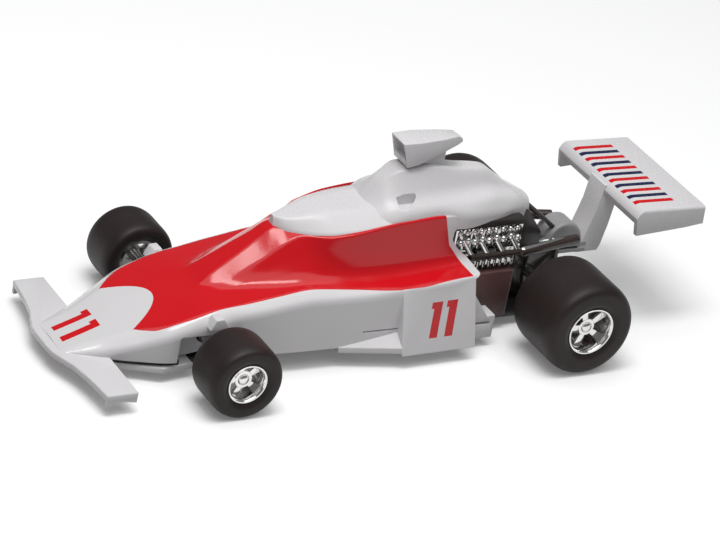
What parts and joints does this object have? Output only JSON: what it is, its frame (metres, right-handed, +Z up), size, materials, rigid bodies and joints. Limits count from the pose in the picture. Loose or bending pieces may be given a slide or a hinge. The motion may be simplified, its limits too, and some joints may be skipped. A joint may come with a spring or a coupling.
{
  "type": "open wheel racing car",
  "caption": "Toy open wheel racing car with a wedge nose, full-width front wing, side pods, tall engine cover with airbox, rear wing on a pillar and wide slick tyres.",
  "frame": {"origin": "on the ground under the middle of the car's length and width", "axes": "+X to the nose, +Y to the car's left, +Z up"},
  "size_m": [0.1425, 0.0616, 0.0425],
  "materials": {
    "body_white": "gloss, with a red field printed on the body",
    "pan_black": "satin",
    "engine_dark": "satin",
    "tank_brown": "satin",
    "engine_chrome": "plated plastic",
    "tail_grey": "satin",
    "axle_steel": "drawn rod",
    "rim_chrome": "plated plastic",
    "tyre_black": "smooth slick"
  },
  "bodies": {
    "car": {"body_shell": "body_white", "nose_tray": "body_white", "cockpit_cover": "body_white", "engine_cover": "body_white", "airbox": "body_white", "pod_foot_left": "body_white", "pod_foot_right": "body_white", "wing_pillar": "body_white", "rear_wing": "body_white", "floor_pan": "pan_black", "front_bearing": "pan_black", "engine_block": "engine_dark", "side_tank_left": "tank_brown", "side_tank_right": "tank_brown", "cylinder_head_left": "engine_chrome", "cylinder_head_right": "engine_chrome", "exhaust_left": "engine_dark", "exhaust_right": "engine_dark", "gearbox": "engine_chrome", "tail_tank": "tail_grey", "stay_left": "engine_dark", "stay_right": "engine_dark", "wing_bracket": "tail_grey"},
    "front_wheels": {"front_axle": "axle_steel", "front_rim_left": "rim_chrome", "front_rim_right": "rim_chrome", "front_tyre_left": "tyre_black", "front_tyre_right": "tyre_black"},
    "rear_wheels": {"rear_axle": "axle_steel", "rear_rim_left": "rim_chrome", "rear_rim_right": "rim_chrome", "rear_tyre_left": "tyre_black", "rear_tyre_right": "tyre_black"}
  },
  "joints": [
    {"name": "front_wheels_turn", "type": "hinge", "parent": "car", "child": "front_wheels", "pos_m": [0.04065, 0, 0.0079], "axis": [0, 1, 0], "continuous": true},
    {"name": "rear_wheels_turn", "type": "hinge", "parent": "car", "child": "rear_wheels", "pos_m": [-0.03785, 0, 0.0103], "axis": [0, 1, 0], "continuous": true}
  ]
}
